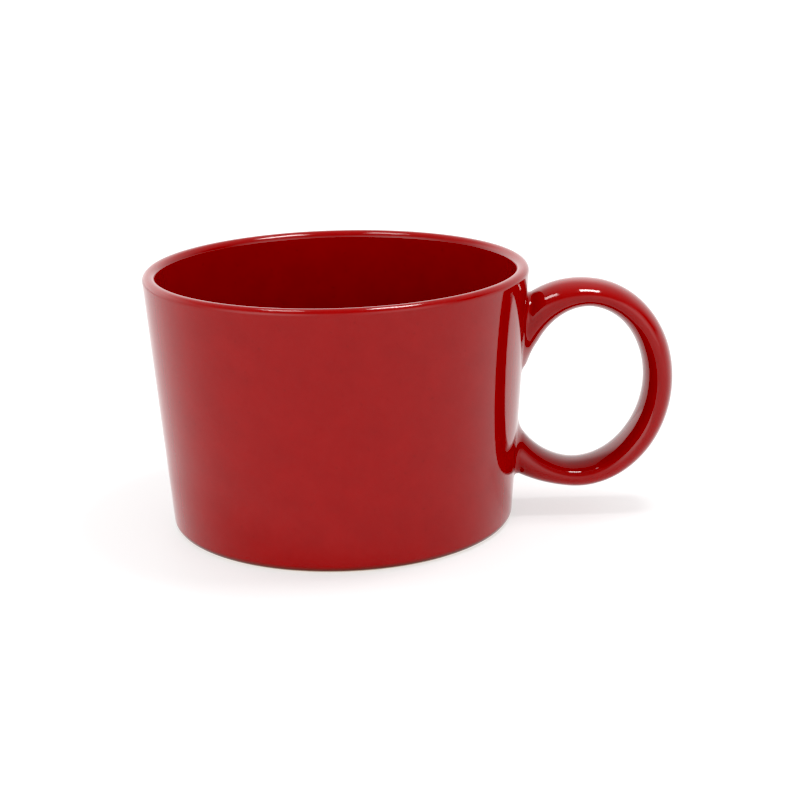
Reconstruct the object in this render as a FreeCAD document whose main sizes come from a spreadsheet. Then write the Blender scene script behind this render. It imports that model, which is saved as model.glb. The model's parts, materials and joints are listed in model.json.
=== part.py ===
import FreeCAD, Part
import math
import os

import Sketcher

# A low, wide ceramic mug with one oval ring handle.
# Frame: origin at the centre of the foot on the table, +Z up, the handle along +X. Millimetres.

# Driving dimensions: name, value and what it measures. All are fired clay sizes but the glaze ones.
SIZES = [
    ("cup_height", 66.0, "table to the top of the clay lip"),
    ("rim_radius", 48.7, "outside of the wall at the lip"),
    ("foot_radius", 43.85, "outside of the wall carried down to the table"),
    ("rim_wall", 2.9, "wall thickness at the lip"),
    ("floor_wall", 3.6, "wall thickness at the floor"),
    ("floor_thickness", 3.8, "floor over the recess"),
    ("lip_round", 1.2, "rounding of both edges of the lip"),
    ("floor_round", 10.0, "hollow between the inner wall and the floor"),
    ("foot_round", 1.7, "rounding of the outer lower edge"),
    ("foot_ring_width", 6.0, "foot ring, from the wall line inwards"),
    ("foot_ring_edge", 0.4, "rounding of the inner lower edge"),
    ("recess_depth", 1.8, "recess under the floor"),
    ("recess_round", 0.6, "hollow round the roof of the recess"),
    ("ring_bite", 4.35, "how far the middle of the strap would run inside the wall at the ring's centre"),
    ("ring_clearance", 6.65, "table to the lowest point of the ring, were it upright"),
    ("ring_half_width", 20.15, "centre of the ring to the middle of the strap, outwards"),
    ("ring_rise", 3.95, "how much further it is to the strap upwards than outwards"),
    ("lower_root_stretch", 5.25, "how much further in than out the middle of the strap runs below the centre"),
    ("strap_width", 14.6, "strap across, along Y"),
    ("strap_thickness", 6.2, "strap through, seen from the side, at its top and bottom"),
    ("grip_swell", 0.4, "how much the strap grows each way towards its outermost point"),
    ("upper_root_swell", 2.6, "how much the strap grows each way towards its upper root"),
    ("lower_root_swell", 3.7, "how much the strap grows each way towards its lower root"),
    ("upper_end_rise", 5.9, "ring centre up to the blunt upper end of the strap"),
    ("lower_end_drop", 4.4, "ring centre down to the blunt lower end of the strap"),
    ("slip_size", 1.2, "slip worked into the corner between handle and wall"),
    ("glaze", 0.3, "glaze coat"),
    ("bare_band", 0.6, "clay left bare above the table"),
    ("overrun", 20.0, "how far cutting shapes run past what they cut"),
]

SLOPE = "((Sizes.rim_radius - Sizes.foot_radius) / Sizes.cup_height)"
FLOOR_LEVEL = "(Sizes.recess_depth + Sizes.floor_thickness)"
FLOOR_RADIUS = f"(Sizes.foot_radius + {SLOPE} * {FLOOR_LEVEL} - Sizes.floor_wall)"
MOUTH_RADIUS = "(Sizes.rim_radius - Sizes.rim_wall)"
CREST_RADIUS = "(Sizes.rim_radius - Sizes.rim_wall / 2)"
RECESS_RADIUS = "(Sizes.foot_radius - Sizes.foot_ring_width)"
INNER_SLOPE = f"(({MOUTH_RADIUS} - {FLOOR_RADIUS}) / (Sizes.cup_height - {FLOOR_LEVEL}))"
RING_HALF_HEIGHT = "(Sizes.ring_half_width + Sizes.ring_rise)"
RING_LEVEL = f"(Sizes.ring_clearance + Sizes.strap_thickness / 2 + {RING_HALF_HEIGHT})"
RING_REACH = (
    f"(Sizes.foot_radius + {SLOPE} * {RING_LEVEL} + Sizes.ring_half_width - Sizes.ring_bite)"
)
OUTER_COAT = f"(Sizes.glaze / cos(atan({SLOPE})))"
INNER_COAT = f"(Sizes.glaze / cos(atan({INNER_SLOPE})))"
# Each rounding of the lip keeps to its own half of the wall, whichever way the wall leans.
LIP_SHARE = 0.95
LIP_ROOM = f"(Sizes.rim_wall / 2 * {LIP_SHARE})"
OUTER_LIP_LIMIT = f"({LIP_ROOM} * tan((90 deg - atan({SLOPE})) / 2))"
INNER_LIP_LIMIT = f"({LIP_ROOM} * tan((90 deg + atan({INNER_SLOPE})) / 2))"
OUTER_LIP_ROUND = f"min(Sizes.lip_round; {OUTER_LIP_LIMIT})"
INNER_LIP_ROUND = f"min(Sizes.lip_round; {INNER_LIP_LIMIT})"

# The strap is drawn through sections square to its middle line, this many degrees apart about the
# ring's centre. They run from one root to the other and leave the middle of the wall out.
FIRST_TURN = 174
TURN_STEP = 12
# How the swell of the strap dies away from the roots: a power of its place across the ring. Inside
# the wall it stays at its largest share, so that the strap is never thicker than wide.
SWELL_POWER = 1.55
LARGEST_SWELL_SHARE = 0.85
# The whole ring leans outwards at its top by this many degrees.
RING_LEAN = 8.0

# How near an edge lies to the circle that it is looked up by.
EDGE_TOLERANCE = 0.001


def make_sheet(document):
    """The spreadsheet of driving dimensions, one alias for each."""
    sheet = document.addObject("Spreadsheet::Sheet", "Sizes")
    for row, (name, value, note) in enumerate(SIZES, start=1):
        sheet.set(f"A{row}", name)
        sheet.set(f"B{row}", str(value))
        sheet.set(f"C{row}", note)
        sheet.setAlias(f"B{row}", name)
    document.recompute()
    return sheet


def evaluate(expression):
    """The value that an expression in the named sizes has now."""
    return float(sizes.evalExpression(expression))


def origin_plane(body, role):
    """One of the body's own origin planes."""
    for feature in body.Origin.OriginFeatures:
        if feature.Role == role:
            return feature
    raise ValueError(role)


def closed_outline(body, corners):
    """A sketch of straight lines in the XZ plane through corners given as pairs of expressions."""
    sketch = body.newObject("Sketcher::SketchObject", body.Name + "_outline")
    sketch.AttachmentSupport = [(origin_plane(body, "XZ_Plane"), "")]
    sketch.MapMode = "FlatFace"
    points = [FreeCAD.Vector(evaluate(across), evaluate(up), 0) for across, up in corners]
    count = len(corners)
    for index in range(count):
        sketch.addGeometry(Part.LineSegment(points[index], points[(index + 1) % count]))
    for index in range(count):
        sketch.addConstraint(Sketcher.Constraint("Coincident", index, 2, (index + 1) % count, 1))
    for index, (across, up) in enumerate(corners):
        for kind, expression in (("DistanceX", across), ("DistanceY", up)):
            value = evaluate(expression)
            place = sketch.addConstraint(Sketcher.Constraint(kind, -1, 1, index, 1, value))
            if expression != "0":
                sketch.setExpression(f"Constraints[{place}]", expression)
    return sketch


def circle_edges(shape, radius, level):
    """Names of the horizontal circles of a lathe shape that have this radius and level."""
    names = []
    for number, edge in enumerate(shape.Edges, start=1):
        if not isinstance(edge.Curve, Part.Circle):
            continue
        near_radius = abs(edge.Curve.Radius - radius) < EDGE_TOLERANCE
        near_level = abs(edge.Curve.Center.z - level) < EDGE_TOLERANCE
        if near_radius and near_level:
            names.append(f"Edge{number}")
    return names


def turned_body(name, corners, roundings):
    """A lathe shape: the outline turned about Z, then each rounding (radius, level, size) put on."""
    body = document.addObject("PartDesign::Body", name)
    body.Label = name
    outline = closed_outline(body, corners)
    turn = body.newObject("PartDesign::Revolution", name + "_turn")
    turn.Profile = outline
    turn.ReferenceAxis = (outline, ["V_Axis"])
    turn.Angle = 360
    document.recompute()
    last = turn
    for number, (radius, level, size) in enumerate(roundings, start=1):
        edges = circle_edges(last.Shape, evaluate(radius), evaluate(level))
        if not edges:
            raise ValueError(f"{name}: no edge for rounding {number}")
        rounding = body.newObject("PartDesign::Fillet", f"{name}_rounding_{number}")
        rounding.Base = (last, edges)
        rounding.Radius = evaluate(size)
        rounding.setExpression("Radius", size)
        document.recompute()
        last = rounding
    body.Tip = last
    return body


def place(thing, across, along, up):
    """Puts an object at a place given as expressions."""
    for axis, expression in (("x", across), ("y", along), ("z", up)):
        if expression != "0":
            thing.setExpression(f".Placement.Base.{axis}", expression)


def strap_section(name, turn, growth):
    """The strap cut square to its middle line at an angle about the ring's centre, grown all round."""
    outwards = math.cos(math.radians(turn))
    reach = "Sizes.ring_half_width"
    swell = "Sizes.grip_swell"
    if outwards < 0:
        swell = "Sizes.upper_root_swell" if turn > 0 else "Sizes.lower_root_swell"
        if turn < 0:
            reach = "(Sizes.ring_half_width + Sizes.lower_root_stretch)"
    swell_share = min(abs(outwards), LARGEST_SWELL_SHARE) ** SWELL_POWER
    across = f"({reach} * cos({turn} deg))"
    up = f"({RING_HALF_HEIGHT} * sin({turn} deg))"
    # The direction away from the ring's centre, square to an ellipse through the middle line.
    tilt = f"(atan2({reach} * sin({turn} deg); {RING_HALF_HEIGHT} * cos({turn} deg)) - {RING_LEAN} deg)"
    lean_cos, lean_sin = f"cos({RING_LEAN} deg)", f"sin({RING_LEAN} deg)"
    x = f"{RING_REACH} + {across} * {lean_cos} + {up} * {lean_sin}"
    z = f"{RING_LEVEL} - {across} * {lean_sin} + {up} * {lean_cos}"
    section = document.addObject("Part::Ellipse", name)
    section.MajorRadius = evaluate(f"Sizes.strap_width / 2 + {growth}")
    section.setExpression("MajorRadius", f"Sizes.strap_width / 2 + {growth}")
    section.setExpression(
        "MinorRadius", f"Sizes.strap_thickness / 2 + {swell} * {swell_share} + {growth}"
    )
    section.setExpression(
        "Placement",
        f"placement(vector({x}; 0; {z});"
        f" rotation(vector(0; 1; 0); 90 deg - {tilt}) * rotation(vector(1; 1; 1); 120))",
    )
    return section


def strap_ring(name, growth):
    """The oval strap from root to root, grown all round by an expression."""
    turns = range(FIRST_TURN, -FIRST_TURN - 1, -TURN_STEP)
    ring = document.addObject("Part::Loft", name)
    ring.Sections = [
        strap_section(f"{name}_section_{number}", turn, growth)
        for number, turn in enumerate(turns, start=1)
    ]
    ring.Solid = True
    return ring


def wall_cone(name, growth):
    """The filled outside of the wall, grown by an expression and running past both its ends."""
    coat = f"({growth}) / cos(atan({SLOPE}))"
    cone = document.addObject("Part::Cone", name)
    cone.setExpression("Radius1", f"Sizes.foot_radius - {SLOPE} * Sizes.overrun + {coat}")
    cone.setExpression("Radius2", f"Sizes.rim_radius + {SLOPE} * Sizes.overrun + {coat}")
    cone.setExpression("Height", "Sizes.cup_height + 2 * Sizes.overrun")
    place(cone, "0", "0", "-Sizes.overrun")
    return cone


def strap_gap(name, growth):
    """The block between the blunt ends of the strap, drawn in at both ends by an expression."""
    block = document.addObject("Part::Box", name)
    block.setExpression("Length", RING_REACH)
    block.setExpression("Width", "Sizes.strap_width + 2 * Sizes.overrun")
    block.setExpression("Height", f"Sizes.upper_end_rise + Sizes.lower_end_drop - 2 * ({growth})")
    place(
        block,
        "0",
        "-Sizes.strap_width / 2 - Sizes.overrun",
        f"{RING_LEVEL} - Sizes.lower_end_drop + {growth}",
    )
    return block


def half_space(name, upper):
    """The block that holds everything near the handle above, or below, the ring's centre."""
    block = document.addObject("Part::Box", name)
    block.setExpression("Length", RING_REACH)
    block.setExpression("Width", "Sizes.strap_width + 2 * Sizes.overrun")
    block.setExpression("Height", "Sizes.cup_height + Sizes.overrun")
    level = RING_LEVEL if upper else f"{RING_LEVEL} - Sizes.cup_height - Sizes.overrun"
    place(block, "0", "-Sizes.strap_width / 2 - Sizes.overrun", level)
    return block


def fused(name, things):
    """Several shapes as one, with their faces kept apart."""
    result = document.addObject("Part::MultiFuse", name)
    result.Shapes = things
    result.Refine = False
    return result


def shared(name, things):
    """What several shapes have in common."""
    result = document.addObject("Part::MultiCommon", name)
    result.Shapes = things
    result.Refine = False
    return result


def cut(name, base, tool):
    """One shape less another."""
    result = document.addObject("Part::Cut", name)
    result.Base = base
    result.Tool = tool
    result.Refine = False
    return result


def make_cup_body():
    """Clay wall, floor and foot ring, turned in one piece."""
    return turned_body(
        "cup_body",
        [
            ("0", "Sizes.recess_depth"),
            (RECESS_RADIUS, "Sizes.recess_depth"),
            (RECESS_RADIUS, "0"),
            ("Sizes.foot_radius", "0"),
            ("Sizes.rim_radius", "Sizes.cup_height"),
            (MOUTH_RADIUS, "Sizes.cup_height"),
            (FLOOR_RADIUS, FLOOR_LEVEL),
            ("0", FLOOR_LEVEL),
        ],
        [
            ("Sizes.rim_radius", "Sizes.cup_height", OUTER_LIP_ROUND),
            (MOUTH_RADIUS, "Sizes.cup_height", INNER_LIP_ROUND),
            (FLOOR_RADIUS, FLOOR_LEVEL, "Sizes.floor_round"),
            ("Sizes.foot_radius", "0", "Sizes.foot_round"),
            (RECESS_RADIUS, "0", "Sizes.foot_ring_edge"),
            (RECESS_RADIUS, "Sizes.recess_depth", "Sizes.recess_round"),
        ],
    )


def make_ring_handle(wall):
    """The clay strap: an oval ring, cut away inside the wall and between its blunt ends."""
    ring = strap_ring("strap_ring", "0")
    return cut("ring_handle", ring, fused("handle_trim", [wall, strap_gap("handle_gap", "0")]))


def make_slip_joints(wall, ring_handle):
    """The beads of slip in the corner round each root of the handle."""
    zone = shared(
        "slip_zone",
        [strap_ring("slip_ring", "Sizes.slip_size"), wall_cone("slip_cone", "Sizes.slip_size")],
    )
    trim = fused("slip_trim", [wall, strap_gap("slip_gap", "Sizes.slip_size"), ring_handle])
    beads = cut("slip_beads", zone, trim)
    joints = []
    for name, upper in (("upper_slip_joint", True), ("lower_slip_joint", False)):
        joints.append(shared(name, [beads, half_space(name + "_half", upper)]))
    return joints


def make_outer_glaze(wall, clay):
    """The glaze on the outer wall, the outer half of the lip, the handle and its joints."""
    outer_top = f"(Sizes.rim_radius + {OUTER_COAT} + {SLOPE} * Sizes.glaze)"
    outer_foot = f"(Sizes.foot_radius + {OUTER_COAT} - {SLOPE} * Sizes.glaze)"
    ring_middle = "(Sizes.foot_radius - Sizes.foot_ring_width / 2)"
    wall_coat = turned_body(
        "wall_coat",
        [
            (ring_middle, "-Sizes.glaze"),
            (outer_foot, "-Sizes.glaze"),
            (outer_top, "Sizes.cup_height + Sizes.glaze"),
            (CREST_RADIUS, "Sizes.cup_height + Sizes.glaze"),
            (CREST_RADIUS, "Sizes.cup_height - Sizes.rim_wall / 2"),
            (ring_middle, "Sizes.recess_depth"),
        ],
        [
            (outer_top, "Sizes.cup_height + Sizes.glaze", f"{OUTER_LIP_ROUND} + Sizes.glaze"),
            (outer_foot, "-Sizes.glaze", "Sizes.foot_round + Sizes.glaze"),
        ],
    )
    handle_coat = cut(
        "handle_coat",
        strap_ring("coat_ring", "Sizes.glaze"),
        fused("coat_trim", [wall, strap_gap("coat_gap", "Sizes.glaze")]),
    )
    growth = "(Sizes.slip_size + Sizes.glaze)"
    bead_zone = shared(
        "bead_coat_zone",
        [strap_ring("bead_coat_ring", growth), wall_cone("bead_coat_cone", growth)],
    )
    bead_coat = cut(
        "bead_coat",
        bead_zone,
        fused("bead_coat_trim", [wall, strap_gap("bead_coat_gap", growth)]),
    )
    bare = document.addObject("Part::Cylinder", "bare_foot_trim")
    bare.setExpression("Radius", "Sizes.rim_radius + Sizes.overrun")
    bare.setExpression("Height", "Sizes.overrun + Sizes.bare_band")
    place(bare, "0", "0", "-Sizes.overrun")
    coats = fused("outer_coats", [wall_coat, handle_coat, bead_coat])
    return cut("outer_glaze", coats, fused("outer_glaze_trim", clay + [bare]))


def make_inner_glaze(cup_body):
    """The glaze on the inner half of the lip, the inner wall and the floor."""
    mouth = f"({MOUTH_RADIUS} - {INNER_COAT} + {INNER_SLOPE} * Sizes.glaze)"
    floor = f"({FLOOR_RADIUS} - {INNER_COAT} + {INNER_SLOPE} * Sizes.glaze)"
    middle = f"{FLOOR_LEVEL} - Sizes.floor_thickness / 2"
    lining = turned_body(
        "lining_coat",
        [
            ("0", f"{FLOOR_LEVEL} + Sizes.glaze"),
            (floor, f"{FLOOR_LEVEL} + Sizes.glaze"),
            (mouth, "Sizes.cup_height + Sizes.glaze"),
            (CREST_RADIUS, "Sizes.cup_height + Sizes.glaze"),
            (CREST_RADIUS, "Sizes.cup_height - Sizes.rim_wall / 2"),
            (f"{FLOOR_RADIUS} + Sizes.floor_wall / 2", middle),
            ("0", middle),
        ],
        [
            (mouth, "Sizes.cup_height + Sizes.glaze", f"{INNER_LIP_ROUND} + Sizes.glaze"),
            (floor, f"{FLOOR_LEVEL} + Sizes.glaze", "Sizes.floor_round - Sizes.glaze"),
        ],
    )
    return cut("inner_glaze", lining, cup_body)


def make_base_glaze(cup_body):
    """The glaze in the recess under the floor, inside the bare foot ring."""
    coated = f"({RECESS_RADIUS} - Sizes.glaze)"
    backing = f"({RECESS_RADIUS} + Sizes.foot_ring_width / 2)"
    middle = f"{FLOOR_LEVEL} - Sizes.floor_thickness / 2"
    cap = turned_body(
        "recess_coat",
        [
            ("0", "Sizes.recess_depth - Sizes.glaze"),
            (coated, "Sizes.recess_depth - Sizes.glaze"),
            (coated, "Sizes.bare_band"),
            (backing, "Sizes.bare_band"),
            (backing, middle),
            ("0", middle),
        ],
        [(coated, "Sizes.recess_depth - Sizes.glaze", "Sizes.recess_round - Sizes.glaze")],
    )
    return cut("base_glaze", cap, cup_body)


def check(pieces):
    """Stops if any object failed, or if a piece is empty, invalid or in several lumps."""
    for thing in document.Objects:
        if "Invalid" in thing.State or "Error" in thing.State:
            raise RuntimeError(f"{thing.Name}: {thing.getStatusString()}")
    for piece in pieces:
        shape = piece.Shape
        if shape.isNull() or not shape.isValid():
            raise RuntimeError(f"{piece.Label}: bad shape")
        if len(shape.Solids) != 1:
            raise RuntimeError(f"{piece.Label}: {len(shape.Solids)} solids")


def export(pieces):
    """Writes one file for each piece, named after it."""
    os.makedirs("parts", exist_ok=True)
    for piece in pieces:
        piece.Shape.exportStep(f"parts/{piece.Label}.step")
        box = piece.Shape.optimalBoundingBox(False)
        print(
            f"{piece.Label}: volume {piece.Shape.Volume:.1f},"
            f" x {box.XMin:.2f} {box.XMax:.2f}, y {box.YMin:.2f} {box.YMax:.2f},"
            f" z {box.ZMin:.2f} {box.ZMax:.2f}"
        )


document = FreeCAD.newDocument("ring_handled_cup")
sizes = make_sheet(document)

wall = wall_cone("wall_cone", "0")
cup_body = make_cup_body()
ring_handle = make_ring_handle(wall)
slip_joints = make_slip_joints(wall, ring_handle)
clay = [cup_body, ring_handle] + slip_joints
outer_glaze = make_outer_glaze(wall, clay)
inner_glaze = make_inner_glaze(cup_body)
base_glaze = make_base_glaze(cup_body)
document.recompute()

pieces = clay + [outer_glaze, inner_glaze, base_glaze]
check(pieces)
export(pieces)
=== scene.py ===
import json
import math

import bpy
import numpy as np
from mathutils import Matrix, Vector

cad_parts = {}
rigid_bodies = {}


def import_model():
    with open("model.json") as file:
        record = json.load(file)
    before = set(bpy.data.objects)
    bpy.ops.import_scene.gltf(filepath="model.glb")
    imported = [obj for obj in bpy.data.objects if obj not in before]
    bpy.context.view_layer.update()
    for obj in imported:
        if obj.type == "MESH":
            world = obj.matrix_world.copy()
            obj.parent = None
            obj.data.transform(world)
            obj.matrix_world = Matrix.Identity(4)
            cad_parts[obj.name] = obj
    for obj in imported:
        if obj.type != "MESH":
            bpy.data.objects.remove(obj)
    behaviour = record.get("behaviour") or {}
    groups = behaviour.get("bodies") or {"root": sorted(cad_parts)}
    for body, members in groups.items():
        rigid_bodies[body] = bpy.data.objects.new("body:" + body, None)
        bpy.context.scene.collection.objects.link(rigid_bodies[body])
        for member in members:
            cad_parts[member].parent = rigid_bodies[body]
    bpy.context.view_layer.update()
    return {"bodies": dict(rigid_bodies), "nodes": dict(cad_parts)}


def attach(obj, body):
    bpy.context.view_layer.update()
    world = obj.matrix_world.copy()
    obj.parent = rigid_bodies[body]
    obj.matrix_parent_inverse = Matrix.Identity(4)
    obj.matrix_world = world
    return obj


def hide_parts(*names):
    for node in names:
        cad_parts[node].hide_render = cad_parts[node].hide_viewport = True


# A low, wide ceramic mug with one oval ring handle, under a glossy red glaze.
# Sizes are in millimetres, as the part's own are, and meshes are made in metres.
MM = 0.001

# The fired clay.
CUP_HEIGHT = 66.0
RIM_RADIUS = 48.7
FOOT_RADIUS = 43.85
RIM_WALL = 2.9
FLOOR_WALL = 3.6
FLOOR_LEVEL = 5.6
LIP_ROUND = 1.2
# The glaze rounds the inner edge of the lip a little more than the clay under it.
MOUTH_ROUND = 1.6
FLOOR_ROUND = 10.0
FOOT_ROUND = 1.7
BARE_BAND = 0.6

# The ring of the handle: the middle line of its strap, an ellipse that leans outwards at its top
# and is stretched inwards below its centre, and the strap, which swells towards its roots.
RING_BITE = 4.35
RING_CLEARANCE = 6.65
RING_HALF_WIDTH = 20.15
RING_HALF_HEIGHT = 24.1
LOWER_ROOT_STRETCH = 5.25
STRAP_WIDTH = 14.6
STRAP_THICKNESS = 6.2
GRIP_SWELL = 0.4
UPPER_ROOT_SWELL = 2.6
LOWER_ROOT_SWELL = 3.7
SWELL_POWER = 1.55
LARGEST_SWELL_SHARE = 0.85
RING_LEAN = math.radians(8.0)
UPPER_END_RISE = 5.9
LOWER_END_DROP = 4.4

# The glaze coat, how much of it lies behind its outside, the roundings that it leaves where the
# handle grows out of the wall, and its mesh.
GLAZE = 0.3
BACKING_SHARE = 0.9
ROOT_FILLET = 1.6
END_ROUND = 1.1
NET_STEP = 0.6
NET_COLUMNS = 42
NET_ROWS = 103
NET_LAYERS = 78
NET_BOTTOM = 1.9
NET_DEPTH = 0.9
NET_PASSES = 10
WALL_COLUMNS = 120
ARC_POINTS = 10
INNER_WALL_STEPS = 13
FLOOR_CIRCLES = (0.75, 0.5, 0.25, 0.1)

# How the coat is worked out: rounds of nearest-point search, the step that its slope is read with,
# the least slope that is trusted, and the last pulls onto the coat.
SEARCH_ROUNDS = 4
SLOPE_STEP = 0.01
LEAST_SLOPE_SQUARED = 0.25
LAST_PULLS = 3
SMALLEST_DIVISOR = 1e-9

# The colours: two of each material, between which its clouds run.
RED_DEEP, RED_BRIGHT = (0.252, 0.0012, 0.0012), (0.277, 0.002, 0.0018)
# The glaze under the foot is a darker copy of the red glaze: painted shade on the cup's underside.
SHADED_UNDER_DEEP, SHADED_UNDER_BRIGHT = (0.235, 0.0012, 0.0012), (0.265, 0.002, 0.0018)
CLAY_PALE, CLAY_DARK = (0.62, 0.47, 0.35), (0.5, 0.36, 0.26)
SLIP_PALE, SLIP_DARK = (0.66, 0.52, 0.4), (0.56, 0.42, 0.31)

# The clouds of each material: how many to a metre, their detail and their roughness.
GLAZE_CLOUDS = (150.0, 3.0, 0.55)
GLAZE_FLECKS = (900.0, 2.0, 0.5)
GLAZE_SHEEN = (260.0, 2.0, 0.5)
GLAZE_RIPPLE = (120.0, 1.0, 0.4)
CLAY_CLOUDS = (220.0, 5.0, 0.65)
CLAY_SPECKS = (1400.0, 2.0, 0.5)
CLAY_GRAIN = (2200.0, 4.0, 0.7)
# The stretch of a cloud's values that is used, and the peaks that show as flecks or specks.
CLOUD_RANGE = (0.3, 0.7)
FLECK_RANGE = (0.66, 0.78)
SPECK_RANGE = (0.64, 0.72)

# The glaze: how much lighter its colour is painted towards the foot and darker towards the lip, as
# painted light from the floor on the lower wall, its flecks, its sheen and its ripple in metres.
FOOT_PAINTED_LIGHT = 0.12
FLECK_SHARE = 0.35
FLECK_DARKNESS = 0.55
GLAZE_ROUGHNESS = (0.055, 0.095)
GLAZE_IOR = 1.5
RIPPLE_HEIGHT = 0.00003
RIPPLE_STRENGTH = 0.35
# The levels between which its lower edge turns brown, where it runs thin on the clay.
EDGE_BROWN = (0.9, 2.0)
EDGE_SHARE = 0.85
EDGE_COLOUR = (0.07, 0.012, 0.006)

# The clay and the slip: their specks, their roughness and their grain in metres.
SPECK_SHARE = 0.7
SPECK_DARKNESS = 0.4
CLAY_ROUGHNESS = 0.72
SLIP_ROUGHNESS = 0.62
ROUGHNESS_SPREAD = 0.1
GRAIN_HEIGHT = 0.00008

# The view: where the camera stands, which way it turns, dips and rolls, and its lens.
CAMERA_PLACE = (10.13, -439.89, 159.19)
CAMERA_TURN = math.radians(0.7)
CAMERA_DIP = math.radians(16.33)
CAMERA_ROLL = math.radians(-1.297)
CAMERA_LENS = 79.48
CAMERA_SENSOR = 36.0
CAMERA_REACH = (0.01, 50.0)

# The light, whose lengths are in metres: how bright the room's walls are every 45 degrees, from
# behind the camera and clockwise as seen from above, and the scale that brings them under 1.
ROOM_WALLS = (1.21, 2.35, 1.01, 1.9, 1.3, 1.0, 0.5, 1.9, 1.21)
ROOM_SCALE = 4.0
# How high the plain ceiling starts and is reached, and how bright it is.
ROOM_RISE = (math.radians(25.0), math.radians(40.0))
ROOM_CEILING = 0.75
# The pale sweep of the floor up the walls, bright all round.
ROOM_SWEEP = (math.radians(8.0), math.radians(20.0))
ROOM_SWEEP_LIGHT = 1.05
# The two boxes overhead: name, place to the right of the cup, width and radiance, and then the
# depth and the height of both.
BOXES = (("left_box", -0.14, 0.11, 9.0), ("right_box", 0.15, 0.14, 24.0))
BOX_DEPTH = 0.12
BOX_LEVEL = 0.516
# The floor, in metres too: how much light it gives back, and its own glow near the cup and away
# from it, with the distances from the cup's axis where the one ends and the other is reached.
FLOOR_SIZE = 6.0
FLOOR_ROUGHNESS = 0.6
FLOOR_ALBEDO = 0.45
FLOOR_GLOW = (0.52, 0.66)
FLOOR_RINGS = (0.1, 0.3)
# The brightness that the picture shows as black.
BLACK_LEVEL = 0.03

# What follows from these sizes, in millimetres.
SLOPE = (RIM_RADIUS - FOOT_RADIUS) / CUP_HEIGHT
LEAN = math.atan(SLOPE)
TOP = CUP_HEIGHT + GLAZE
OUTER_FOOT = FOOT_RADIUS + GLAZE / math.cos(LEAN)
MOUTH_RADIUS = RIM_RADIUS - RIM_WALL
FLOOR_RADIUS = FOOT_RADIUS + SLOPE * FLOOR_LEVEL - FLOOR_WALL
INNER_SLOPE = (MOUTH_RADIUS - FLOOR_RADIUS) / (CUP_HEIGHT - FLOOR_LEVEL)
INNER_LEAN = math.atan(INNER_SLOPE)
FLOOR_TOP = FLOOR_LEVEL + GLAZE
RING_LEVEL = RING_CLEARANCE + STRAP_THICKNESS / 2 + RING_HALF_HEIGHT
RING_REACH = FOOT_RADIUS + SLOPE * RING_LEVEL + RING_HALF_WIDTH - RING_BITE


def outer_radius(level):
    """The glazed outside of the wall at a level."""
    return OUTER_FOOT + SLOPE * level


def inner_radius(level):
    """The glazed inside of the wall at a level."""
    return FLOOR_RADIUS + INNER_SLOPE * (level - FLOOR_LEVEL) - GLAZE / math.cos(INNER_LEAN)


def rounded_min(a, b, radius):
    """The nearer of two surfaces, joined by a hollow rounding."""
    reach = np.hypot(np.maximum(radius - a, 0), np.maximum(radius - b, 0))
    return np.maximum(radius, np.minimum(a, b)) - reach


def rounded_max(a, b, radius):
    """What two solids share, with the edge between them rounded over."""
    return -rounded_min(-a, -b, radius)


def ring_place(across, up):
    """How far points lie outside the middle line of the ring, and how far out along the ring."""
    a = np.where((across < 0) & (up < 0), RING_HALF_WIDTH + LOWER_ROOT_STRETCH, RING_HALF_WIDTH)
    b = RING_HALF_HEIGHT
    turn = np.arctan2(up * a, across * b)
    for _ in range(SEARCH_ROUNDS):
        c, s = np.cos(turn), np.sin(turn)
        slip = (a * a - b * b) * c * s - across * a * s + up * b * c
        rate = (a * a - b * b) * (c * c - s * s) - across * a * c - up * b * s
        turn = turn - slip / np.where(np.abs(rate) < 1, -1, rate)
    c, s = np.cos(turn), np.sin(turn)
    offset = ((across - a * c) * b * c + (up - b * s) * a * s) / np.hypot(b * c, a * s)
    return offset, c


def handle_distance(p):
    """Roughly the distance of points to the glazed strap, which has two blunt ends on the wall."""
    across = p[:, 0] - RING_REACH
    up = p[:, 2] - RING_LEVEL
    ring_across = across * math.cos(RING_LEAN) - up * math.sin(RING_LEAN)
    ring_up = across * math.sin(RING_LEAN) + up * math.cos(RING_LEAN)
    offset, outwards = ring_place(ring_across, ring_up)
    root_swell = np.where(ring_up > 0, UPPER_ROOT_SWELL, LOWER_ROOT_SWELL)
    swell = np.where(outwards > 0, GRIP_SWELL, root_swell)
    share = np.minimum(np.abs(outwards), LARGEST_SWELL_SHARE) ** SWELL_POWER
    thick = STRAP_THICKNESS / 2 + swell * share + GLAZE
    wide = STRAP_WIDTH / 2 + GLAZE
    k1 = np.hypot(offset / thick, p[:, 1] / wide)
    k2 = np.hypot(offset / thick**2, p[:, 1] / wide**2)
    strap = k1 * (k1 - 1) / np.maximum(k2, SMALLEST_DIVISOR)
    gap = np.minimum(UPPER_END_RISE - GLAZE - up, up + LOWER_END_DROP - GLAZE)
    # Only the half of the ring on the cup's side ends; the other half is deep inside the limit.
    gap = np.where(across > 0, -RING_REACH, gap)
    return rounded_max(strap, gap, END_ROUND)


def wall_distance(p):
    """The distance of points to the glazed outside of the wall."""
    return (np.hypot(p[:, 0], p[:, 1]) - outer_radius(p[:, 2])) * math.cos(LEAN)


def coat_distance(p):
    """The outside of the glaze: wall and handle, with a hollow rounding at the roots."""
    return rounded_min(wall_distance(p), handle_distance(p), ROOT_FILLET)


def coat_slope(p):
    """The direction in which the distance to the coat grows fastest, and the distance."""
    slope = np.empty_like(p)
    for axis in range(3):
        ahead, behind = p.copy(), p.copy()
        ahead[:, axis] += SLOPE_STEP
        behind[:, axis] -= SLOPE_STEP
        slope[:, axis] = (coat_distance(ahead) - coat_distance(behind)) / (2 * SLOPE_STEP)
    return slope, coat_distance(p)


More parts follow.
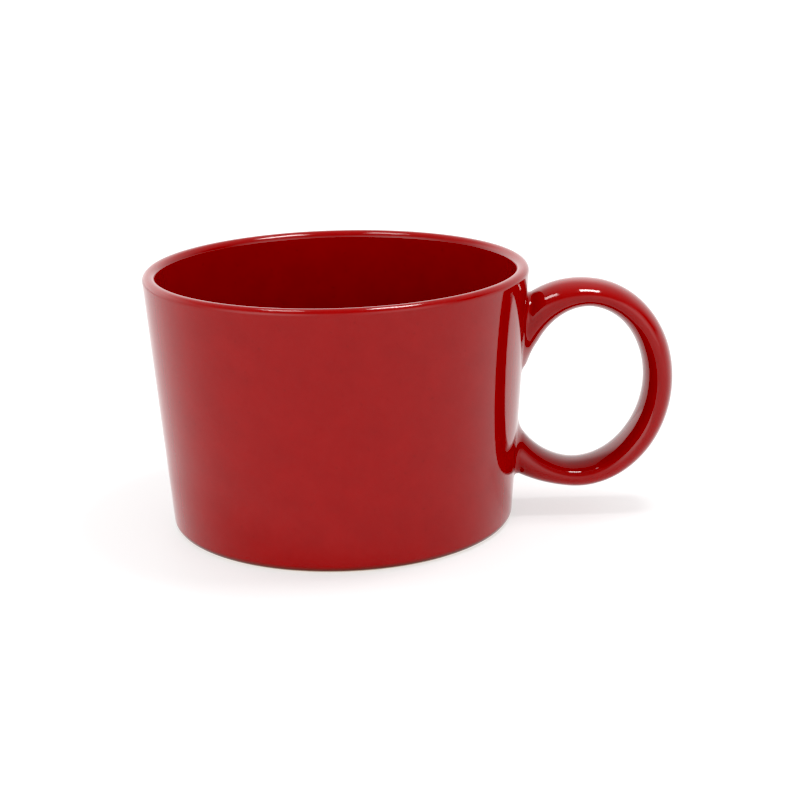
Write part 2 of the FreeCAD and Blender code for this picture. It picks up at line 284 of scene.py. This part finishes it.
def pulled_onto_coat(p, passes):
    """Points moved straight onto the surface of the coat."""
    for _ in range(passes):
        slope, distance = coat_slope(p)
        steep = np.maximum((slope**2).sum(1), LEAST_SLOPE_SQUARED)
        p = p - slope * (np.clip(distance, -NET_STEP, NET_STEP) / steep)[:, None]
    return p


def handle_net():
    """The part of the coat round the handle: points, four-sided faces, and each point's cell.

    The coat is read on a grid whose layers follow the wall, so that each plain stretch of wall
    gives one point for each column and row, and so do the four edges of the net."""
    sides = (np.arange(NET_COLUMNS + 1) - NET_COLUMNS / 2) * NET_STEP
    levels = NET_BOTTOM + np.arange(NET_ROWS + 1) * NET_STEP
    outs = np.arange(NET_LAYERS) * NET_STEP - NET_DEPTH
    y = np.broadcast_to(sides[None, :, None], (len(outs), len(sides), len(levels)))
    z = np.broadcast_to(levels[None, None, :], y.shape)
    x = np.sqrt(outer_radius(z) ** 2 - y**2) + outs[:, None, None]
    values = coat_distance(np.stack([x, y, z], -1).reshape(-1, 3)).reshape(y.shape)
    inside = values < 0
    cells = tuple(n - 1 for n in values.shape)

    def corner(array, i, j, k):
        return array[i : i + cells[0], j : j + cells[1], k : k + cells[2]]

    total = np.zeros(cells + (3,))
    crossings = np.zeros(cells)
    for axis in range(3):
        for first in (0, 1):
            for second in (0, 1):
                start = [0, 0, 0]
                start[(axis + 1) % 3], start[(axis + 2) % 3] = first, second
                end = list(start)
                end[axis] = 1
                a, b = corner(values, *start), corner(values, *end)
                crossed = corner(inside, *start) != corner(inside, *end)
                place = np.empty(cells + (3,))
                place[...] = start
                place[..., axis] = np.where(crossed, a / np.where(crossed, a - b, 1), 0)
                total += place * crossed[..., None]
                crossings += crossed
    used = crossings > 0
    number = np.full(cells, -1)
    number[used] = np.arange(used.sum())
    cell = np.argwhere(used)
    at = cell + total[used] / crossings[used][:, None]
    points = np.empty((len(at), 3))
    points[:, 1] = sides[0] + at[:, 1] * NET_STEP
    points[:, 2] = levels[0] + at[:, 2] * NET_STEP
    wall = np.sqrt(outer_radius(points[:, 2]) ** 2 - points[:, 1] ** 2)
    points[:, 0] = wall + outs[0] + at[:, 0] * NET_STEP

    faces = []
    for axis in range(3):
        u, v = (axis + 1) % 3, (axis + 2) % 3
        first = [slice(None)] * 3
        second = [slice(None)] * 3
        for other in (u, v):
            first[other] = second[other] = slice(1, -1)
        first[axis], second[axis] = slice(0, -1), slice(1, None)
        leaving = inside[tuple(first)] & ~inside[tuple(second)]
        entering = ~inside[tuple(first)] & inside[tuple(second)]
        around = []
        for du, dv in ((0, 0), (1, 0), (1, 1), (0, 1)):
            window = [slice(None)] * 3
            window[u] = slice(du, cells[u] - 1 + du)
            window[v] = slice(dv, cells[v] - 1 + dv)
            around.append(number[tuple(window)])
        ring = np.stack(around, -1)
        faces.append(ring[leaving])
        faces.append(ring[entering][:, ::-1])
    return points, np.concatenate(faces), cell[:, 1], cell[:, 2]


def evened(points, faces, fixed):
    """The net's points spread evenly over the coat, with its edges left in place."""
    ends = np.concatenate([faces[:, [0, 1]], faces[:, [1, 2]], faces[:, [2, 3]], faces[:, [3, 0]]])
    for _ in range(NET_PASSES):
        total = np.zeros_like(points)
        count = np.zeros(len(points))
        for a, b in ((0, 1), (1, 0)):
            np.add.at(total, ends[:, a], points[ends[:, b]])
            np.add.at(count, ends[:, a], 1)
        moved = points + (total / count[:, None] - points) / 2
        moved = pulled_onto_coat(moved, 1)
        points = np.where(fixed[:, None], points, moved)
    return np.where(fixed[:, None], points, pulled_onto_coat(points, LAST_PULLS))


def arc(before, corner, after, radius):
    """The points and normals of a rounding at a corner of an outline that runs anticlockwise."""
    before, corner, after = (np.array(v, float) for v in (before, corner, after))
    come = (corner - before) / np.linalg.norm(corner - before)
    go = (after - corner) / np.linalg.norm(after - corner)
    turn = math.atan2(come[0] * go[1] - come[1] * go[0], come @ go)
    side = math.copysign(1.0, turn)
    start = corner - come * radius * math.tan(abs(turn) / 2)
    right = np.array([come[1], -come[0]])
    centre = start - right * radius * side
    points = []
    for step in range(ARC_POINTS + 1):
        a = turn * step / ARC_POINTS
        c, s = math.cos(a), math.sin(a)
        normal = np.array([right[0] * c - right[1] * s, right[0] * s + right[1] * c])
        points.append((*(centre + normal * radius * side), *normal))
    return points


def cup_outline(rows):
    """The glazed section from the bare foot up the wall, over the lip and down to the floor.

    Each point is radius, level and the two parts of its normal."""
    foot = (outer_radius(0) - SLOPE * GLAZE, -GLAZE)
    lip = (outer_radius(TOP), TOP)
    mouth = (inner_radius(TOP), TOP)
    floor = (inner_radius(FLOOR_TOP), FLOOR_TOP)
    middle = (0.0, FLOOR_TOP)
    outward = (math.cos(LEAN), -math.sin(LEAN))
    inward = (-math.cos(INNER_LEAN), math.sin(INNER_LEAN))
    outline = [p for p in arc(middle, foot, lip, FOOT_ROUND + GLAZE) if p[1] > BARE_BAND]
    lip_arc = arc(foot, lip, mouth, LIP_ROUND + GLAZE)
    mouth_arc = arc(lip, mouth, floor, MOUTH_ROUND + GLAZE)
    floor_arc = arc(mouth, floor, middle, FLOOR_ROUND - GLAZE)
    first_row = len(outline)
    for level in rows:
        outline.append((outer_radius(level), level, *outward))
    for share in (1 / 3, 2 / 3):
        level = rows[-1] + (lip_arc[0][1] - rows[-1]) * share
        outline.append((outer_radius(level), level, *outward))
    outline += lip_arc + mouth_arc
    high, low = mouth_arc[-1][1], floor_arc[0][1]
    for share in np.linspace(0, 1, INNER_WALL_STEPS + 1)[1:-1]:
        level = high + (low - high) * share
        outline.append((inner_radius(level), level, *inward))
    outline += floor_arc
    for share in FLOOR_CIRCLES:
        outline.append((floor_arc[-1][0] * share, FLOOR_TOP, 0.0, 1.0))
    return outline, first_row


def glaze_skin():
    """The outside of the red glaze as points, normals, faces and its edge at the bare foot."""
    points, net_faces, column, row = handle_net()
    edge = (column == 0) | (column == NET_COLUMNS - 1) | (row == 0) | (row == NET_ROWS - 1)
    points = evened(points, net_faces, edge)
    slope, _ = coat_slope(points)
    normals = slope / np.linalg.norm(slope, axis=1)[:, None]

    columns = (np.arange(NET_COLUMNS) - (NET_COLUMNS - 1) / 2) * NET_STEP
    rows = NET_BOTTOM + (np.arange(NET_ROWS) + 0.5) * NET_STEP
    outline, first_row = cup_outline(rows)
    last_row = first_row + NET_ROWS - 1
    around = NET_COLUMNS + WALL_COLUMNS
    cup_points = []
    cup_normals = []
    for radius, level, out, up in outline:
        near = np.arcsin(columns / outer_radius(min(level, rows[-1])))
        far = np.linspace(near[-1], 2 * math.pi + near[0], WALL_COLUMNS + 2)[1:-1]
        turns = np.concatenate([near, far])
        circle = np.stack([np.cos(turns), np.sin(turns)], -1)
        cup_points.append(np.column_stack([circle * radius, np.full(around, level)]))
        cup_normals.append(np.column_stack([circle * out, np.full(around, up)]))
    faces = []
    for place in range(len(outline) - 1):
        for turn in range(around):
            if first_row <= place < last_row and turn < NET_COLUMNS - 1:
                continue
            lower, after = place * around, (turn + 1) % around
            upper = lower + around
            faces.append([lower + turn, lower + after, upper + after, upper + turn])
    last = (len(outline) - 1) * around
    centre = last + around
    faces += [[last + turn, last + (turn + 1) % around, centre] for turn in range(around)]

    own = centre + 1 + np.arange(len(points))
    joined = np.where(edge, (first_row + row) * around + column, own)
    faces += joined[net_faces].tolist()
    all_points = np.concatenate(cup_points + [[[0, 0, FLOOR_TOP]], points])
    all_normals = np.concatenate(cup_normals + [[[0, 0, 1]], normals])

    used = np.zeros(len(all_points), bool)
    for face in faces:
        used[face] = True
    number = (np.cumsum(used) - 1).tolist()
    faces = [[number[corner] for corner in face] for face in faces]
    return all_points[used], all_normals[used], faces, list(range(around))


def make_mesh(name, points, faces, loop_normals):
    """A smooth mesh object in metres with its normals set."""
    mesh = bpy.data.meshes.new(name)
    mesh.from_pydata((points * MM).tolist(), [], faces)
    mesh.update()
    mesh.shade_smooth()
    mesh.normals_split_custom_set(loop_normals)
    thing = bpy.data.objects.new(name, mesh)
    bpy.context.scene.collection.objects.link(thing)
    return thing


def make_glaze():
    """The red glaze outside, inside and on the handle, as one closed coat over the clay."""
    points, normals, faces, rim = glaze_skin()
    backing = points - normals * GLAZE * BACKING_SHARE
    count = len(points)
    back_faces = [[c + count for c in reversed(face)] for face in faces]
    edge_faces = []
    for place, corner in enumerate(rim):
        after = rim[(place + 1) % len(rim)]
        edge_faces.append([after, corner, corner + count, after + count])
    all_faces = faces + back_faces + edge_faces
    corner_normals = np.concatenate([normals, -normals])
    loops = [corner_normals[c] for face in faces + back_faces for c in face]
    loops += [np.array([0, 0, -1.0])] * (4 * len(edge_faces))
    return make_mesh("red_glaze", np.concatenate([points, backing]), all_faces, loops)


def new_material(name):
    """A new node material: itself, its nodes, its links and its shader."""
    material = bpy.data.materials.new(name)
    material.use_nodes = True
    tree = material.node_tree
    return material, tree.nodes, tree.links, tree.nodes["Principled BSDF"]


def math_node(tree, operation, *values, clamp=False):
    """One sum of a shader, whose values are numbers or sockets."""
    node = tree.nodes.new("ShaderNodeMath")
    node.operation = operation
    node.use_clamp = clamp
    for socket, value in zip(node.inputs, values):
        if isinstance(value, (int, float)):
            socket.default_value = value
        else:
            tree.links.new(value, socket)
    return node.outputs[0]


def noise(tree, scale, detail, roughness):
    """Clouds in the object's own space; the scale is in clouds a metre."""
    place = tree.nodes.new("ShaderNodeTexCoord")
    node = tree.nodes.new("ShaderNodeTexNoise")
    tree.links.new(place.outputs["Object"], node.inputs["Vector"])
    node.inputs["Scale"].default_value = scale
    node.inputs["Detail"].default_value = detail
    node.inputs["Roughness"].default_value = roughness
    return node.outputs["Fac"]


def spread(tree, value, low, high, to_low, to_high):
    """A value carried from one range to another and kept inside it."""
    node = tree.nodes.new("ShaderNodeMapRange")
    tree.links.new(value, node.inputs["Value"])
    ends = {"From Min": low, "From Max": high, "To Min": to_low, "To Max": to_high}
    for name, number in ends.items():
        node.inputs[name].default_value = number
    return node.outputs["Result"]


def blend(tree, share, first, second):
    """A colour between two colours, each given as numbers or as a socket."""
    node = tree.nodes.new("ShaderNodeMix")
    node.data_type = "RGBA"
    tree.links.new(share, node.inputs["Factor"])
    for socket, colour in zip(node.inputs[6:8], (first, second)):
        if isinstance(colour, tuple):
            socket.default_value = colour + (1.0,)
        else:
            tree.links.new(colour, socket)
    return node.outputs[2]


def bump(tree, shader, height, distance):
    """Fine relief on a shader."""
    node = tree.nodes.new("ShaderNodeBump")
    tree.links.new(height, node.inputs["Height"])
    node.inputs["Distance"].default_value = distance
    tree.links.new(node.outputs["Normal"], shader.inputs["Normal"])
    return node


def glaze_material(name, deep, bright):
    """Glossy red glaze: soft clouds, dark flecks, painted light that makes it brighter to the foot
    and darker to the lip, brown at its lower edge.
    """
    material, nodes, links, shader = new_material(name)
    tree = material.node_tree
    place = nodes.new("ShaderNodeTexCoord")
    parts = nodes.new("ShaderNodeSeparateXYZ")
    links.new(place.outputs["Object"], parts.inputs[0])
    height = parts.outputs["Z"]
    # Painted light: the colour runs lighter towards the foot and darker towards the lip, standing
    # in for the floor's light on the lower wall.
    level = spread(tree, height, 0.0, CUP_HEIGHT * MM, FOOT_PAINTED_LIGHT, -FOOT_PAINTED_LIGHT)
    clouds = spread(tree, noise(tree, *GLAZE_CLOUDS), *CLOUD_RANGE, 0.0, 1.0)
    share = math_node(tree, "ADD", clouds, level, clamp=True)
    cloudy = blend(tree, share, deep, bright)
    fleck = spread(tree, noise(tree, *GLAZE_FLECKS), *FLECK_RANGE, 0.0, FLECK_SHARE)
    flecked = blend(tree, fleck, cloudy, tuple(FLECK_DARKNESS * c for c in deep))
    burnt = spread(tree, height, EDGE_BROWN[0] * MM, EDGE_BROWN[1] * MM, EDGE_SHARE, 0.0)
    links.new(blend(tree, burnt, flecked, EDGE_COLOUR), shader.inputs["Base Color"])
    sheen = spread(tree, noise(tree, *GLAZE_SHEEN), *CLOUD_RANGE, *GLAZE_ROUGHNESS)
    links.new(sheen, shader.inputs["Roughness"])
    shader.inputs["IOR"].default_value = GLAZE_IOR
    ripple = bump(tree, shader, noise(tree, *GLAZE_RIPPLE), RIPPLE_HEIGHT)
    ripple.inputs["Strength"].default_value = RIPPLE_STRENGTH
    return material


def clay_material(name, pale, dark, roughness):
    """Bare fired clay: grain, darker iron specks and a rough, open surface."""
    material, _, links, shader = new_material(name)
    tree = material.node_tree
    body = blend(tree, spread(tree, noise(tree, *CLAY_CLOUDS), *CLOUD_RANGE, 0.0, 1.0), pale, dark)
    speck = spread(tree, noise(tree, *CLAY_SPECKS), *SPECK_RANGE, 0.0, SPECK_SHARE)
    specked = blend(tree, speck, body, tuple(SPECK_DARKNESS * c for c in dark))
    links.new(specked, shader.inputs["Base Color"])
    grain = noise(tree, *CLAY_GRAIN)
    rough_range = (roughness - ROUGHNESS_SPREAD, roughness + ROUGHNESS_SPREAD)
    links.new(spread(tree, grain, *CLOUD_RANGE, *rough_range), shader.inputs["Roughness"])
    bump(tree, shader, grain, GRAIN_HEIGHT)
    return material


def make_camera():
    """The photograph's view."""
    data = bpy.data.cameras.new("view")
    data.sensor_width = CAMERA_SENSOR
    data.lens = CAMERA_LENS
    data.clip_start, data.clip_end = CAMERA_REACH
    camera = bpy.data.objects.new("view", data)
    bpy.context.scene.collection.objects.link(camera)
    level = Vector((math.sin(CAMERA_TURN), math.cos(CAMERA_TURN), 0))
    forward = level * math.cos(CAMERA_DIP) - Vector((0, 0, math.sin(CAMERA_DIP)))
    right = Vector((math.cos(CAMERA_TURN), -math.sin(CAMERA_TURN), 0))
    up = right.cross(forward)
    rolled_right = right * math.cos(CAMERA_ROLL) + up * math.sin(CAMERA_ROLL)
    rolled_up = up * math.cos(CAMERA_ROLL) - right * math.sin(CAMERA_ROLL)
    axes = Matrix((rolled_right, rolled_up, -forward)).transposed()
    camera.matrix_world = Matrix.Translation(Vector(CAMERA_PLACE) * MM) @ axes.to_4x4()
    bpy.context.scene.camera = camera


def make_floor():
    """The pale floor, which glows a little, and more so away from the cup."""
    bpy.ops.mesh.primitive_plane_add(size=FLOOR_SIZE, location=(0, 0, 0))
    floor = bpy.context.object
    floor.name = "floor"
    material, nodes, links, shader = new_material("pale_floor")
    shader.inputs["Base Color"].default_value = (FLOOR_ALBEDO, FLOOR_ALBEDO, FLOOR_ALBEDO, 1)
    shader.inputs["Roughness"].default_value = FLOOR_ROUGHNESS
    shader.inputs["Emission Color"].default_value = (1, 1, 1, 1)
    place = nodes.new("ShaderNodeTexCoord")
    reach = nodes.new("ShaderNodeVectorMath")
    reach.operation = "LENGTH"
    links.new(place.outputs["Object"], reach.inputs[0])
    glow = spread(material.node_tree, reach.outputs["Value"], *FLOOR_RINGS, *FLOOR_GLOW)
    links.new(glow, shader.inputs["Emission Strength"])
    floor.data.materials.append(material)


def soft_box(name, across, width, radiance):
    """A rectangular light overhead that points straight down."""
    data = bpy.data.lights.new(name, "AREA")
    data.shape = "RECTANGLE"
    data.size = width
    data.size_y = BOX_DEPTH
    data.energy = math.pi * width * BOX_DEPTH * radiance
    light = bpy.data.objects.new(name, data)
    bpy.context.scene.collection.objects.link(light)
    light.location = (across, 0, BOX_LEVEL)


def make_room():
    """A white room: soft bright and dim stretches of wall round the cup, and a plain ceiling."""
    world = bpy.data.worlds.new("room")
    world.use_nodes = True
    tree = world.node_tree
    place = tree.nodes.new("ShaderNodeTexCoord")
    parts = tree.nodes.new("ShaderNodeSeparateXYZ")
    tree.links.new(place.outputs["Generated"], parts.inputs[0])
    turn = math_node(tree, "ARCTAN2", parts.outputs["X"], parts.outputs["Y"])
    share = math_node(tree, "MULTIPLY_ADD", turn, 1 / (2 * math.pi), 0.5)
    ramp = tree.nodes.new("ShaderNodeValToRGB")
    tree.links.new(share, ramp.inputs[0])
    ramp.color_ramp.interpolation = "EASE"
    stops = ramp.color_ramp.elements
    last = len(ROOM_WALLS) - 1
    for number in range(1, last):
        stops.new(number / last)
    for stop, bright in zip(stops, ROOM_WALLS):
        grey = bright / ROOM_SCALE
        stop.color = (grey, grey, grey, 1)
    walls = math_node(tree, "MULTIPLY", ramp.outputs["Color"], ROOM_SCALE)
    rise = math_node(tree, "ARCSINE", parts.outputs["Z"])
    sweep = spread(tree, rise, *ROOM_SWEEP, ROOM_SWEEP_LIGHT, 0.0)
    walls = math_node(tree, "MAXIMUM", walls, sweep)
    height = spread(tree, rise, *ROOM_RISE, 0.0, 1.0)
    mix = tree.nodes.new("ShaderNodeMix")
    tree.links.new(height, mix.inputs[0])
    tree.links.new(walls, mix.inputs[2])
    mix.inputs[3].default_value = ROOM_CEILING
    tree.links.new(mix.outputs[0], tree.nodes["Background"].inputs["Strength"])
    tree.nodes["Background"].inputs["Color"].default_value = (1, 1, 1, 1)
    bpy.context.scene.world = world


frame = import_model()

glaze = make_glaze()
red = glaze_material("glossy_red_glaze", RED_DEEP, RED_BRIGHT)
# A darker copy of the red glaze for the underside of the foot: painted shade.
under = glaze_material("red_glaze_with_painted_shade_under_the_foot", SHADED_UNDER_DEEP, SHADED_UNDER_BRIGHT)
clay = clay_material("fired_clay", CLAY_PALE, CLAY_DARK, CLAY_ROUGHNESS)
slip = clay_material("fired_slip", SLIP_PALE, SLIP_DARK, SLIP_ROUGHNESS)
glaze.data.materials.append(red)
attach(glaze, "root" if "root" in frame["bodies"] else list(frame["bodies"])[0])
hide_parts("outer_glaze", "inner_glaze", "upper_slip_joint", "lower_slip_joint")

for name, node in frame["nodes"].items():
    kind = clay
    if name == "base_glaze":
        kind = under
    elif name.endswith("glaze"):
        kind = red
    elif name.endswith("slip_joint"):
        kind = slip
    for slot in node.material_slots:
        slot.material = kind

make_camera()
make_floor()
make_room()
for box in BOXES:
    soft_box(*box)
view = bpy.context.scene.view_settings
view.view_transform = "Standard"
view.use_curve_mapping = True
view.curve_mapping.black_level = (BLACK_LEVEL, BLACK_LEVEL, BLACK_LEVEL)
